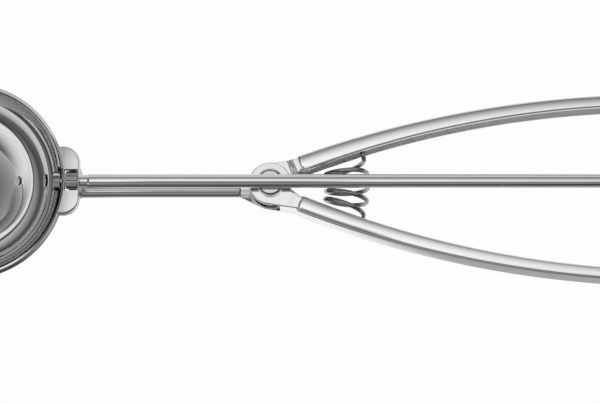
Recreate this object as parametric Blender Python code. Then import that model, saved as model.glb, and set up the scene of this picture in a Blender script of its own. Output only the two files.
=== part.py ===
"""
Squeeze-handled ice cream scoop, all in stainless steel.

X runs along the frame rod, from the bowl (-X) to the ends of the handles (+X).
Z points out of the bowl's mouth, and Z = 0 is the bowl's lowest point.
The handles turn about the pivot, which is parallel to Z at X = 0, Y = 0.
"""
import math

import bmesh
import bpy
from mathutils import Matrix, Vector

MM = 0.001

# Fits and sheet
CLEARANCE = 0.3 * MM
SHEET = 0.9 * MM

# Fineness of round pieces
PIN_SEGMENTS = 16
BORE_SEGMENTS = 20
ROD_SEGMENTS = 24
RIVET_SEGMENTS = 32

# Bowl, a half ball with a short straight rise to its lip
BOWL_OUTER_RADIUS = 28.5 * MM
BOWL_WALL = 0.8 * MM
BOWL_RIM_RISE = 2.2 * MM
PIVOT_TO_BOWL = 88.0 * MM
BOWL_SEGMENTS = 48
BOWL_ARC_STEPS = 12

# Bracket that joins the bowl to the frame rod and covers the gearing
BRACKET_REACH = 4.3 * MM
BRACKET_HALF_WIDTH = 9.95 * MM
BRACKET_CORNER = 4.4 * MM
BRACKET_BULGE = 0.3 * MM
BRACKET_WALL = 0.8 * MM
BRACKET_SKIRT = 3.7 * MM
TONGUE_LENGTH = 8.7 * MM
TONGUE_HALF_WIDTH = 4.0 * MM
WINDOW_SIDE_GAP = 0.3 * MM
WINDOW_WEB = 0.4 * MM

# Frame rod
ROD_RADIUS = 2.0 * MM
ROD_NECK_RADIUS = 1.75 * MM
ROD_NECK_LENGTH = 2.3 * MM
ROD_END_X = 112.0 * MM
ROD_DOME_STEPS = 4

# Gearing: a pinion on the scraper's spindle and a toothed sector behind it
TOOTH_MODULE = 0.6 * MM
PINION_TEETH = 8
PINION_TEETH_CUT = 6
PRESSURE_ANGLE = math.radians(25.0)
PINION_ADDENDUM = 0.42 * MM
PINION_DEDENDUM = 0.5 * MM
PINION_PLAIN_RADIUS = 2.35 * MM
PINION_PLAIN_STEPS = 12
RACK_ADDENDUM = 0.35 * MM
RACK_DEDENDUM = 0.6 * MM
TOOTH_BACKLASH = 0.33 * MM
RACK_TEETH = 7
RACK_TEETH_BELOW_REST = 1.5
RACK_THICKNESS = 2.2 * MM
RACK_BAND = 2.5 * MM
RACK_SIDE_GAP = 0.5 * MM

# Scraper
SPINDLE_RADIUS = 0.95 * MM
HUB_RADIUS = 2.83 * MM
HUB_LENGTH = 2.0 * MM
HUB_WALL_GAP = 0.45 * MM
FAR_HUB_RADIUS = 2.3 * MM
FAR_HUB_LENGTH = 1.6 * MM
PIN_HEAD_RADIUS = 2.1 * MM
PIN_HEAD_HEIGHT = 0.9 * MM
BLADE_WIDTH = 9.5 * MM
BLADE_END_WIDTH = 5.6 * MM
BLADE_THICKNESS = 0.6 * MM
BLADE_GAP = 0.4 * MM
BLADE_STATIONS = 22
BLADE_COLUMNS = 4

# Handles, C-shaped channels that curve out from the pivot
HANDLE_DROP = 0.7 * MM
HANDLE_WIDTH = 11.3 * MM
HANDLE_START_X = 8.13 * MM
HANDLE_START_OFFSET = 5.6 * MM
HANDLE_START_SLOPE = math.radians(21.23)
HANDLE_ARC_RADIUS = 302.0 * MM
HANDLE_LENGTH = 117.5 * MM
HANDLE_START_THICKNESS = 4.9 * MM
HANDLE_END_THICKNESS = 3.6 * MM
HANDLE_EDGE_RADIUS = 0.8 * MM
HANDLE_CROWN_RADIUS = 6.0 * MM
HANDLE_TIP_LENGTH = 6.0 * MM
HANDLE_TIP_ROLL = 1.8 * MM
HANDLE_SHOULDER = 1.4 * MM
SHOULDER_WIDTH_SHARE = 0.8
SHOULDER_THICKNESS_SHARE = 0.65
TIP_WIDTH_SHARE = 0.45
TIP_THICKNESS_SHARE = 0.6
HANDLE_PAIR_TURN = math.radians(-0.63)
HANDLE_STATIONS = 12

# Ears, the flat ends of the handles on the pivot
EAR_RADIUS = 6.2 * MM
EAR_STEP = 0.6 * MM
EAR_NECK_ANGLE = math.radians(14.0)
EAR_FOLD_START = 6.6 * MM
EAR_FOLD_LENGTH = 2.3 * MM
EAR_ROOT_DEPTH = 0.35 * MM
EAR_ROOT_LENGTH = 5.0 * MM
EAR_ROOT_HALF_WIDTH = 1.3 * MM
EAR_NECK_HALF_WIDTH = 1.8 * MM
EAR_NECK_STOP = 0.3 * MM
EAR_WALL_OVERLAP = 1.2 * MM
EAR_WALL_INSET = 0.07 * MM
EAR_ARC_STEP = math.radians(9.0)
LUG_REACH = 9.0 * MM
LUG_HALF_WIDTH = 2.1 * MM

# Lever rod, from the lower handle's lug to the toothed sector
LEVER_RADIUS = 2.0 * MM
LEVER_CHAMFER = 0.35 * MM
LEVER_OFFSET = -0.6 * MM

# Pivot rivet
RIVET_HEAD_RADIUS = 4.0 * MM
RIVET_HEAD_RISE = 2.0 * MM
RIVET_SHANK_RADIUS = 2.2 * MM
RIVET_CHAMFER = 0.35 * MM
RIVET_TAIL_RADIUS = 3.3 * MM
RIVET_TAIL_HEIGHT = 1.0 * MM
SPACER_RADIUS = 3.6 * MM
WASHER_RADIUS = 4.4 * MM
WASHER_THICKNESS = 0.6 * MM

# Return spring, a coil bent round the pivot between the handles
SPRING_ARC_RADIUS = 22.6 * MM
SPRING_COIL_RADIUS = 6.1 * MM
SPRING_WIRE_RADIUS = 0.7 * MM
SPRING_TURNS = 4
SPRING_ROD_GAP = 0.4 * MM
SPRING_HANDLE_GAP = 1.0 * MM
SPRING_TAIL_BEND = 1.6 * MM
SPRING_BEND_STEPS = 3
SPRING_POINTS_PER_TURN = 10

# Places that follow from the sizes above, measured from the rod's axis
BOWL_X = -PIVOT_TO_BOWL
BOWL_INNER_RADIUS = BOWL_OUTER_RADIUS - BOWL_WALL
BORE_RADIUS = SPINDLE_RADIUS + CLEARANCE
WEB_OUTER_X = BOWL_X + BOWL_OUTER_RADIUS + BRACKET_REACH
WEB_INNER_X = WEB_OUTER_X - BRACKET_WALL
WINDOW_X = WEB_OUTER_X - WINDOW_WEB
PITCH_RADIUS = TOOTH_MODULE * PINION_TEETH / 2
TOOTH_PITCH = math.pi * TOOTH_MODULE
PINION_TIP_RADIUS = PITCH_RADIUS + PINION_ADDENDUM
RACK_OUTER_X = WEB_INNER_X - RACK_SIDE_GAP
RACK_INNER_X = RACK_OUTER_X - RACK_THICKNESS
RACK_MIDDLE = -(RACK_OUTER_X + RACK_INNER_X) / 2
HANDLE_TOP = -(ROD_RADIUS + HANDLE_DROP)
HANDLE_MIDDLE = HANDLE_TOP - HANDLE_WIDTH / 2
LOWER_EAR_FACE = HANDLE_WIDTH / 2 - EAR_STEP
UPPER_EAR_FACE = LOWER_EAR_FACE - SHEET - CLEARANCE
LEVER_Z = HANDLE_MIDDLE - LOWER_EAR_FACE + SHEET / 2
PIVOT_BORE = RIVET_SHANK_RADIUS + CLEARANCE
BLADE_RADIUS = BOWL_INNER_RADIUS - BLADE_GAP
SPRING_Z = -(ROD_RADIUS + SPRING_ROD_GAP + SPRING_COIL_RADIUS + SPRING_WIRE_RADIUS)


def clear_scene():
    for old in list(bpy.data.objects):
        bpy.data.objects.remove(old, do_unlink=True)


def steel(name, grey, roughness):
    material = bpy.data.materials.new(name)
    material.use_nodes = True
    shader = material.node_tree.nodes["Principled BSDF"]
    shader.inputs["Base Color"].default_value = (grey, grey, grey, 1.0)
    shader.inputs["Metallic"].default_value = 1.0
    shader.inputs["Roughness"].default_value = roughness
    material.diffuse_color = (grey, grey, grey, 1.0)
    return material


def empty(name, location):
    holder = bpy.data.objects.new(name, None)
    holder.location = location
    bpy.context.collection.objects.link(holder)
    return holder


def mesh_object(name, bm):
    """Turns a closed bmesh into an object with outward faces and smooth round sides."""
    bmesh.ops.recalc_face_normals(bm, faces=bm.faces)
    mesh = bpy.data.meshes.new(name)
    bm.to_mesh(mesh)
    bm.free()
    made = bpy.data.objects.new(name, mesh)
    bpy.context.collection.objects.link(made)
    return made


def finish(made, parent, material, location=(0.0, 0.0, 0.0)):
    if made.type == "MESH":
        made.data.shade_smooth()
        made.data.set_sharp_from_angle(angle=math.radians(35))
    made.data.materials.clear()
    made.data.materials.append(material)
    made.parent = parent
    made.location = location
    return made


def cut(target, tool, operation="DIFFERENCE"):
    """Applies an exact boolean to target and removes the tool."""
    modifier = target.modifiers.new("cut", "BOOLEAN")
    modifier.operation = operation
    modifier.solver = "EXACT"
    modifier.object = tool
    tool.hide_render = True
    tool.display_type = "WIRE"
    graph = bpy.context.evaluated_depsgraph_get()
    result = bpy.data.meshes.new_from_object(target.evaluated_get(graph))
    target.modifiers.clear()
    target.data = result
    bpy.data.objects.remove(tool, do_unlink=True)


def turned(name, profile, axis, segments, ring=False):
    """Spins (along, radius) points about the X or Z axis; ring closes a profile with a bore."""
    bm = bmesh.new()
    if axis == "X":
        corners = [bm.verts.new((along, 0.0, radius)) for along, radius in profile]
        spin_axis = (1.0, 0.0, 0.0)
    else:
        corners = [bm.verts.new((radius, 0.0, along)) for along, radius in profile]
        spin_axis = (0.0, 0.0, 1.0)
    edges = [bm.edges.new(pair) for pair in zip(corners, corners[1:])]
    if ring:
        edges.append(bm.edges.new((corners[-1], corners[0])))
    bmesh.ops.spin(bm, geom=corners + edges, cent=(0.0, 0.0, 0.0), axis=spin_axis,
                   angle=math.tau, steps=segments, use_duplicate=False)
    bmesh.ops.remove_doubles(bm, verts=bm.verts, dist=0.001 * MM)
    return mesh_object(name, bm)


def tube(name, start, end, radius, bore, axis, segments):
    profile = [(start, bore), (start, radius), (end, radius), (end, bore)]
    return turned(name, profile, axis, segments, ring=True)


def drill(start, end, radius, axis, segments=BORE_SEGMENTS):
    profile = [(start, 0.0), (start, radius), (end, radius), (end, 0.0)]
    return turned("drill", profile, axis, segments)


def plate(name, outline, low, high):
    """Extrudes a flat outline of (x, y) points from low to high along Z."""
    bm = bmesh.new()
    face = bm.faces.new([bm.verts.new((x, y, low)) for x, y in outline])
    grown = bmesh.ops.extrude_face_region(bm, geom=[face])
    moved = [item for item in grown["geom"] if isinstance(item, bmesh.types.BMVert)]
    bmesh.ops.translate(bm, verts=moved, vec=(0.0, 0.0, high - low))
    return mesh_object(name, bm)


def loft(name, rings):
    """Skins rings of equal length and caps both ends."""
    bm = bmesh.new()
    rows = [[bm.verts.new(point) for point in ring] for ring in rings]
    for row, following in zip(rows, rows[1:]):
        for k in range(len(row)):
            after = (k + 1) % len(row)
            bm.faces.new((row[k], row[after], following[after], following[k]))
    bm.faces.new(rows[0])
    bm.faces.new(rows[-1])
    return mesh_object(name, bm)


def arc(centre, radius, start, end, steps):
    return [(centre[0] + radius * math.cos(start + (end - start) * k / steps),
             centre[1] + radius * math.sin(start + (end - start) * k / steps))
            for k in range(steps + 1)]


def bowl_profile(radius, rise):
    """(height, radius) points of a half ball about the rod's axis, pole first."""
    points = []
    for k in range(BOWL_ARC_STEPS + 1):
        angle = math.pi / 2 * k / BOWL_ARC_STEPS
        points.append((-radius * math.cos(angle), radius * math.sin(angle)))
    points.append((rise, radius))
    return points


def make_bowl(parent, material):
    outside = bowl_profile(BOWL_OUTER_RADIUS, BOWL_RIM_RISE)
    inside = bowl_profile(BOWL_INNER_RADIUS, BOWL_RIM_RISE)
    bowl = turned("bowl", outside + inside[::-1], "Z", BOWL_SEGMENTS)
    reach = BOWL_OUTER_RADIUS + BOWL_WALL
    cut(bowl, drill(-reach, reach, BORE_RADIUS, "X"))
    return finish(bowl, parent, material, (BOWL_X, 0.0, 0.0))


def bracket_outline(left_x, inset):
    """Cover seen from the front: straight sides, rounded outer corners, bulging outer edge."""
    half = BRACKET_HALF_WIDTH - inset
    corner = BRACKET_CORNER - inset
    right = WEB_OUTER_X - inset
    low = arc((right - corner, corner - half), corner, -math.pi / 2, 0.0, 5)
    high = arc((right - corner, half - corner), corner, 0.0, math.pi / 2, 5)
    edge_steps = 6
    span = half - corner
    edge = [(right, -span + 2 * span * k / edge_steps) for k in range(1, edge_steps)]
    bulged = [(x - BRACKET_BULGE * (y / BRACKET_HALF_WIDTH) ** 2, y) for x, y in low + edge + high]
    return [(left_x, -half)] + bulged + [(left_x, half)]


def make_rack_bracket(parent, material):
    top = BOWL_RIM_RISE
    skirt_low = top - BRACKET_SKIRT
    tongue_low = top - TONGUE_LENGTH
    left = BOWL_X + BOWL_OUTER_RADIUS / 2
    bracket = plate("rack_bracket", bracket_outline(left, 0.0), tongue_low, top)
    hollow = plate("hollow", bracket_outline(left - BOWL_WALL, BRACKET_WALL),
                   tongue_low - BRACKET_WALL, top - BRACKET_WALL)
    cut(bracket, hollow)
    beyond = BRACKET_HALF_WIDTH + BRACKET_WALL
    for side in (-1, 1):
        near, far = side * TONGUE_HALF_WIDTH, side * beyond
        outline = [(left - beyond, near), (0.0, near), (0.0, far), (left - beyond, far)]
        cut(bracket, plate("skirt_cut", outline, tongue_low - BRACKET_WALL, skirt_low))
    window = PINION_TIP_RADIUS + WINDOW_SIDE_GAP
    outline = [(left - beyond, -window), (WINDOW_X, -window), (WINDOW_X, window), (left - beyond, window)]
    cut(bracket, plate("window", outline, -window, top + BRACKET_WALL))
    envelope = bowl_profile(BOWL_OUTER_RADIUS + CLEARANCE, top + BRACKET_WALL)
    ball = turned("envelope", envelope + [(top + BRACKET_WALL, 0.0)], "Z", BOWL_SEGMENTS)
    ball.location = (BOWL_X, 0.0, 0.0)
    bpy.context.view_layer.update()
    cut(bracket, ball)
    cut(bracket, drill(WEB_INNER_X - BRACKET_WALL, WEB_OUTER_X + BRACKET_WALL, BORE_RADIUS, "X"))
    return finish(bracket, parent, material)


def make_frame_rod(parent, material):
    start = WEB_OUTER_X + CLEARANCE
    neck_end = start + ROD_NECK_LENGTH
    step = ROD_RADIUS - ROD_NECK_RADIUS
    profile = [(start, 0.0), (start, ROD_NECK_RADIUS), (neck_end, ROD_NECK_RADIUS),
               (neck_end + step, ROD_RADIUS)]
    dome_start = ROD_END_X - ROD_RADIUS
    for k in range(ROD_DOME_STEPS + 1):
        angle = math.pi / 2 * k / ROD_DOME_STEPS
        profile.append((dome_start + ROD_RADIUS * math.sin(angle), ROD_RADIUS * math.cos(angle)))
    rod = turned("frame_rod", profile, "X", ROD_SEGMENTS)
    return finish(rod, parent, material)


def pinion_outline():
    """Teeth only where the sweep uses them, one of them at -Z, and a plain back, as (y, z) points."""
    base_radius = PITCH_RADIUS * math.cos(PRESSURE_ANGLE)
    half_at_pitch = (TOOTH_PITCH - TOOTH_BACKLASH) / 4 / PITCH_RADIUS
    pitch_involute = math.tan(PRESSURE_ANGLE) - PRESSURE_ANGLE

    def half_angle(radius):
        if radius <= base_radius:
            return half_at_pitch + pitch_involute
        pressure = math.acos(base_radius / radius)
        return half_at_pitch + pitch_involute - (math.tan(pressure) - pressure)

    radii = [PITCH_RADIUS - PINION_DEDENDUM, base_radius, PITCH_RADIUS, PINION_TIP_RADIUS]
    flank = [(radius, half_angle(radius)) for radius in radii]
    points = []
    for tooth in range(-1, PINION_TEETH_CUT - 1):
        middle = -math.pi / 2 + math.tau * tooth / PINION_TEETH
        sides = [(radius, -half) for radius, half in flank]
        sides += [(radius, half) for radius, half in reversed(flank)]
        points += [(radius * math.cos(middle + turn), radius * math.sin(middle + turn))
                   for radius, turn in sides]
    plain_half = half_angle(PINION_PLAIN_RADIUS)
    first = -math.pi / 2 - math.tau / PINION_TEETH - plain_half
    plain_run = math.tau * (1 - (PINION_TEETH_CUT - 1) / PINION_TEETH) - 2 * plain_half
    back = arc((0.0, 0.0), PINION_PLAIN_RADIUS, first - plain_run, first, PINION_PLAIN_STEPS)
    below = radii.index(PITCH_RADIUS)
    return points[below:-below] + back


def make_pinion(parent, material):
    """The drive pinion fills the bracket's window, between the bowl and the bracket's web."""
    start = BOWL_OUTER_RADIUS + CLEARANCE
    end = WINDOW_X - CLEARANCE - BOWL_X
    outline = pinion_outline()
    rings = [[(x, y, z) for y, z in outline] for x in (start, end)]
    pinion = loft("pinion", rings)
    cut(pinion, drill(start - CLEARANCE, end + CLEARANCE, BORE_RADIUS, "X"))
    return finish(pinion, parent, material)


def rack_outline():
    """Toothed sector seen along the rod: teeth towards +Z, body, and the foot on the lever rod."""
    half_tooth = (TOOTH_PITCH - TOOTH_BACKLASH) / 4
    slope = math.tan(PRESSURE_ANGLE)
    tip = -PITCH_RADIUS + RACK_ADDENDUM
    root = -PITCH_RADIUS - RACK_DEDENDUM
    band = root - RACK_BAND
    half_tip = half_tooth - RACK_ADDENDUM * slope
    half_root = half_tooth + RACK_DEDENDUM * slope
    points = []
    for tooth in range(RACK_TEETH):
        middle = (tooth - RACK_TEETH_BELOW_REST) * TOOTH_PITCH
        points += [(middle - half_root, root), (middle - half_tip, tip),
                   (middle + half_tip, tip), (middle + half_root, root)]
    first, last = points[0][0], points[-1][0]
    foot_radius = LEVER_RADIUS + CLEARANCE
    foot = arc((LEVER_OFFSET, LEVER_Z), foot_radius, 0.0, -math.pi, 8)
    neck_z = LEVER_Z + foot_radius
    points += [(last, band), (LEVER_OFFSET + foot_radius, neck_z)]
    points += foot
    points += [(LEVER_OFFSET - foot_radius, neck_z), (first, band)]
    return points


def make_rack(parent, material):
    """The teeth run towards the pivot, so the outer ring of the sector is a little longer."""
    outline = rack_outline()
    rings = [[(x, y * -x / RACK_MIDDLE, z) for y, z in outline]
             for x in (RACK_INNER_X, RACK_OUTER_X)]
    rack = loft("rack", rings)
    return finish(rack, parent, material)


def make_lever_rod(parent, material):
    start = RACK_OUTER_X + CLEARANCE
    end = -LUG_REACH - CLEARANCE
    slim = LEVER_RADIUS - LEVER_CHAMFER
    profile = [(start, 0.0), (start, slim), (start + LEVER_CHAMFER, LEVER_RADIUS),
               (end - LEVER_CHAMFER, LEVER_RADIUS), (end, slim), (end, 0.0)]
    rod = turned("lever_rod", profile, "X", ROD_SEGMENTS)
    return finish(rod, parent, material, (0.0, LEVER_OFFSET, LEVER_Z))


def make_spindle(parent, material):
    """Runs from the bracket's web, through pinion and bowl wall, into the inner hub."""
    outer = WEB_OUTER_X - CLEARANCE - BOWL_X
    inner = BOWL_INNER_RADIUS - HUB_WALL_GAP - HUB_LENGTH
    profile = [(inner, 0.0), (inner, SPINDLE_RADIUS), (outer, SPINDLE_RADIUS), (outer, 0.0)]
    spindle = turned("scraper_spindle", profile, "X", PIN_SEGMENTS)
    return finish(spindle, parent, material)


def make_hubs(parent, material):
    near_end = BOWL_INNER_RADIUS - HUB_WALL_GAP
    near = tube("scraper_hub", near_end - HUB_LENGTH, near_end, HUB_RADIUS,
                BORE_RADIUS, "X", ROD_SEGMENTS)
    finish(near, parent, material)
    far_end = -(BOWL_INNER_RADIUS - HUB_WALL_GAP)
    far = tube("scraper_far_hub", far_end, far_end + FAR_HUB_LENGTH, FAR_HUB_RADIUS,
               BORE_RADIUS, "X", ROD_SEGMENTS)
    finish(far, parent, material)


def make_far_pin(parent, material):
    head_low = -(BOWL_OUTER_RADIUS + CLEARANCE)
    head_top = head_low - PIN_HEAD_HEIGHT
    tip = -(BOWL_INNER_RADIUS - HUB_WALL_GAP - FAR_HUB_LENGTH)
    edge = PIN_HEAD_HEIGHT / 2
    profile = [(head_top, 0.0), (head_top, PIN_HEAD_RADIUS - edge),
               (head_top + edge, PIN_HEAD_RADIUS), (head_low, PIN_HEAD_RADIUS),
               (head_low, SPINDLE_RADIUS), (tip, SPINDLE_RADIUS), (tip, 0.0)]
    pin = turned("scraper_far_pin", profile, "X", PIN_SEGMENTS)
    return finish(pin, parent, material)


def make_blade(parent, material):
    """A curved strip that follows the bowl's inside from hub to hub, just under the lip."""
    inner_radius = BLADE_RADIUS - BLADE_THICKNESS
    lean = math.asin(BLADE_WIDTH / 2 / BLADE_RADIUS)
    outward = Vector((0.0, math.cos(lean), -math.sin(lean)))
    across = Vector((0.0, math.sin(lean), math.cos(lean)))
    near_start = math.asin((HUB_RADIUS + CLEARANCE) / inner_radius)
    far_start = math.asin((FAR_HUB_RADIUS + CLEARANCE) / inner_radius)

    def point(angle, radius, side):
        level = math.sqrt(radius ** 2 - side ** 2)
        return Vector((level * math.cos(angle), 0.0, 0.0)) + outward * (
            level * math.sin(angle)) + across * side

    rings = []
    for k in range(BLADE_STATIONS + 1):
        share = k / BLADE_STATIONS
        angle = near_start + (math.pi - near_start - far_start) * share
        width = BLADE_END_WIDTH + (BLADE_WIDTH - BLADE_END_WIDTH) * math.sqrt(math.sin(angle))
        sides = [width * (j / BLADE_COLUMNS - 0.5) for j in range(BLADE_COLUMNS + 1)]
        ring = [point(angle, BLADE_RADIUS, side) for side in sides]
        ring += [point(angle, inner_radius, side) for side in reversed(sides)]
        rings.append(ring)
    blade = loft("scraper_blade", rings)
    return finish(blade, parent, material)


def handle_frame(distance):
    """Point on the handle's middle line, distance past its start, with its outward direction."""
    angle = distance / HANDLE_ARC_RADIUS - HANDLE_START_SLOPE
    along = math.sin(HANDLE_START_SLOPE) + math.sin(angle)
    out = math.cos(angle) - math.cos(HANDLE_START_SLOPE)
    point = Vector((HANDLE_START_X, HANDLE_START_OFFSET, 0.0))
    point += Vector((along, out, 0.0)) * HANDLE_ARC_RADIUS
    return point, Vector((math.sin(angle), math.cos(angle), 0.0))


def handle_run():
    """Length of the middle line, from its start to the handle's end."""
    along = (HANDLE_LENGTH - HANDLE_START_X) / HANDLE_ARC_RADIUS - math.sin(HANDLE_START_SLOPE)
    return HANDLE_ARC_RADIUS * (HANDLE_START_SLOPE + math.asin(along))


def rounding(distance, length):
    """Rises from 0 to 1 as a quarter circle over length."""
    share = min(max(distance / length, 0.0), 1.0)
    return math.sqrt(1 - (1 - share) ** 2)


def eased(start_share, progress):
    return start_share + (1 - start_share) * progress


def handle_section(distance):
    """Half width and half thickness of the channel, distance past its start."""
    left = handle_run() - distance
    slim = (left / handle_run()) ** 2
    thickness = HANDLE_END_THICKNESS + (HANDLE_START_THICKNESS - HANDLE_END_THICKNESS) * slim
    shoulder = rounding(distance, HANDLE_SHOULDER)
    tip = rounding(left, HANDLE_TIP_LENGTH)
    roll = rounding(left, HANDLE_TIP_ROLL)
    half_width = HANDLE_WIDTH / 2 * eased(SHOULDER_WIDTH_SHARE, shoulder)
    half_thickness = thickness / 2 * eased(SHOULDER_THICKNESS_SHARE, shoulder)
    return half_width * eased(TIP_WIDTH_SHARE, tip), half_thickness * eased(TIP_THICKNESS_SHARE, roll)


def handle_stops():
    """Distances of the sections, closer together where the shoulder and the tip are round."""
    run = handle_run()
    turn_steps = 4
    bends = [1 - math.cos(math.pi / 2 * k / turn_steps) for k in range(turn_steps + 1)]
    start = [HANDLE_SHOULDER * bend for bend in bends]
    low, high = HANDLE_SHOULDER, run - HANDLE_TIP_LENGTH
    middle = [low + (high - low) * k / HANDLE_STATIONS for k in range(1, HANDLE_STATIONS)]
    roll = [run - HANDLE_TIP_ROLL * bend for bend in reversed(bends)]
    tip = [run - HANDLE_TIP_LENGTH * bend for bend in reversed(bends)]
    tip = [stop for stop in tip if stop < run - HANDLE_TIP_ROLL]
    return start + middle + tip + roll


def place_ring(distance, section):
    """Puts (outward, z) points of a section on the handle's middle line."""
    centre, outward = handle_frame(distance)
    return [centre + outward * out + Vector((0.0, 0.0, z)) for out, z in section]


def crown(half_width, half_thickness):
    """Height of the middle of the crowned flange's arc, and how far round its edges it reaches."""
    reach = HANDLE_CROWN_RADIUS - HANDLE_EDGE_RADIUS
    tilt = math.asin((half_thickness - HANDLE_EDGE_RADIUS) / reach)
    return half_width - HANDLE_CROWN_RADIUS, tilt


def outer_section(half_width, half_thickness):
    """Flat sides, and top and bottom flanges that are slightly crowned between rounded edges."""
    base, tilt = crown(half_width, half_thickness)
    edge_out = half_thickness - HANDLE_EDGE_RADIUS
    edge_z = base + (HANDLE_CROWN_RADIUS - HANDLE_EDGE_RADIUS) * math.cos(tilt)
    quarter = math.pi / 2
    top = arc((edge_out, edge_z), HANDLE_EDGE_RADIUS, 0.0, quarter - tilt, 3)
    top += arc((0.0, base), HANDLE_CROWN_RADIUS, quarter - tilt, quarter + tilt, 4)[1:-1]
    top += arc((-edge_out, edge_z), HANDLE_EDGE_RADIUS, quarter + tilt, math.pi, 3)
    return top + [(-out, -z) for out, z in top]


def hollow_section(half_width, half_thickness):
    """The channel's inside: one sheet in from the flanges and the web, open towards the rod."""
    base, _ = crown(half_width, half_thickness)
    radius = HANDLE_CROWN_RADIUS - SHEET
    web = half_thickness - SHEET
    mouth = -half_thickness - SHEET
    steps = 4
    outs = [web + (mouth - web) * k / steps for k in range(steps + 1)]
    top = [(out, base + math.sqrt(radius ** 2 - out ** 2)) for out in outs]
    return top + [(out, -z) for out, z in reversed(top)]


def make_channel(name):
    stops = handle_stops()
    channel = loft(name, [place_ring(stop, outer_section(*handle_section(stop))) for stop in stops])
    before = -HANDLE_SHOULDER
    between = [(stop + following) / 2 for stop, following in zip(stops, stops[1:])]
    inner_stops = [stop for stop in between if stop < handle_run() - HANDLE_TIP_ROLL]
    rings = [place_ring(before, hollow_section(*handle_section(0.0)))]
    rings += [place_ring(stop, hollow_section(*handle_section(stop))) for stop in inner_stops]
    cut(channel, loft("channel_hollow", rings))
    return channel


def tangent_angle(point, side):
    """Where a line from the point touches the ear's disc, as an angle between 0 and a full turn."""
    reach = math.hypot(*point)
    return (math.atan2(point[1], point[0]) + side * math.acos(EAR_RADIUS / reach)) % math.tau


def ear_arc(start, end):
    return arc((0.0, 0.0), EAR_RADIUS, start, end, max(1, round((end - start) / EAR_ARC_STEP)))


def in_channel(distance, out):
    """(x, y) of a spot out from the handle's middle line, distance past its start."""
    centre, outward = handle_frame(distance)
    spot = centre + outward * out
    return spot.x, spot.y


def ear_outline(with_lug):
    """Disc on the pivot, neck to the channel's start, and a root that lies inside the channel."""
    neck = in_channel(EAR_NECK_STOP, EAR_NECK_HALF_WIDTH)
    start, end = tangent_angle(neck, 1), math.tau + EAR_NECK_ANGLE
    if with_lug:
        outer = (-LUG_REACH, -LEVER_OFFSET + LUG_HALF_WIDTH)
        inner = (-LUG_REACH, -LEVER_OFFSET - LUG_HALF_WIDTH)
        rim = ear_arc(start, tangent_angle(outer, -1)) + [outer, inner]
        rim += ear_arc(tangent_angle(inner, 1), end)
    else:
        rim = ear_arc(start, end)
    root = [in_channel(EAR_NECK_STOP, -EAR_NECK_HALF_WIDTH),
            in_channel(EAR_ROOT_LENGTH, -EAR_ROOT_HALF_WIDTH),
            in_channel(EAR_ROOT_LENGTH, EAR_ROOT_HALF_WIDTH), neck]
    return rim + root


def wall_outline():
    """The web goes on along the ears' outer edge, until it nears the other handle's discs."""
    neck = Vector((*in_channel(EAR_NECK_STOP, EAR_NECK_HALF_WIDTH), 0.0))
    turn = tangent_angle(neck.to_2d(), 1)
    radial = Vector((math.cos(turn), math.sin(turn), 0.0))
    touch = radial * EAR_RADIUS
    along = (neck - touch).normalized()
    depth = EAR_WALL_INSET + SHEET
    first = math.sqrt((EAR_RADIUS + CLEARANCE) ** 2 - (EAR_RADIUS - depth) ** 2)
    last = (neck - touch).length + EAR_WALL_OVERLAP
    corners = [touch + along * run - radial * inset for run, inset in
               ((first, EAR_WALL_INSET), (last, EAR_WALL_INSET), (last, depth), (first, depth))]
    return [(corner.x, corner.y) for corner in corners]


def fold_out(folded, lift):
    """Moves what lies past the fold lines away from mid width by lift, and what lies between by a share."""
    slope = Vector((math.cos(HANDLE_START_SLOPE), math.sin(HANDLE_START_SLOPE), 0.0))
    bm = bmesh.new()
    bm.from_mesh(folded.data)
    for fold in (EAR_FOLD_START, EAR_FOLD_START + EAR_FOLD_LENGTH):
        everything = bm.verts[:] + bm.edges[:] + bm.faces[:]
        bmesh.ops.bisect_plane(bm, geom=everything, dist=0.001 * MM, plane_co=slope * fold, plane_no=slope)
    for vert in bm.verts:
        share = min(max((vert.co.dot(slope) - EAR_FOLD_START) / EAR_FOLD_LENGTH, 0.0), 1.0)
        vert.co.z += math.copysign(lift * share, vert.co.z)
    bm.to_mesh(folded.data)
    bm.free()
    return folded


def make_ear(face, side, with_lug=False):
    """Flat ear whose outer face lies face away from mid width, folded out into the channel."""
    low, high = sorted((side * (face - SHEET), side * face))
    ear = plate("ear", ear_outline(with_lug), low, high)
    return fold_out(ear, HANDLE_WIDTH / 2 - EAR_ROOT_DEPTH - face)


def make_ear_wall(face):
    reach = face - SHEET / 2
    wall = plate("ear_wall", wall_outline(), -reach, reach)
    return fold_out(wall, HANDLE_WIDTH / 2 - EAR_ROOT_DEPTH - face)


def make_handle(name, parent, material, ear_face, mirrored, with_lug):
    handle = make_channel(name)
    cut(handle, make_ear(ear_face, 1), "UNION")
    cut(handle, make_ear(ear_face, -1, with_lug), "UNION")
    cut(handle, make_ear_wall(ear_face), "UNION")
    cut(handle, drill(-HANDLE_WIDTH, HANDLE_WIDTH, PIVOT_BORE, "Z", ROD_SEGMENTS))
    if mirrored:
        handle.data.transform(Matrix.Diagonal((1.0, -1.0, 1.0, 1.0)))
        handle.data.flip_normals()
    handle.data.transform(Matrix.Rotation(HANDLE_PAIR_TURN, 4, "Z"))
    return finish(handle, parent, material, (0.0, 0.0, HANDLE_MIDDLE))


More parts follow.
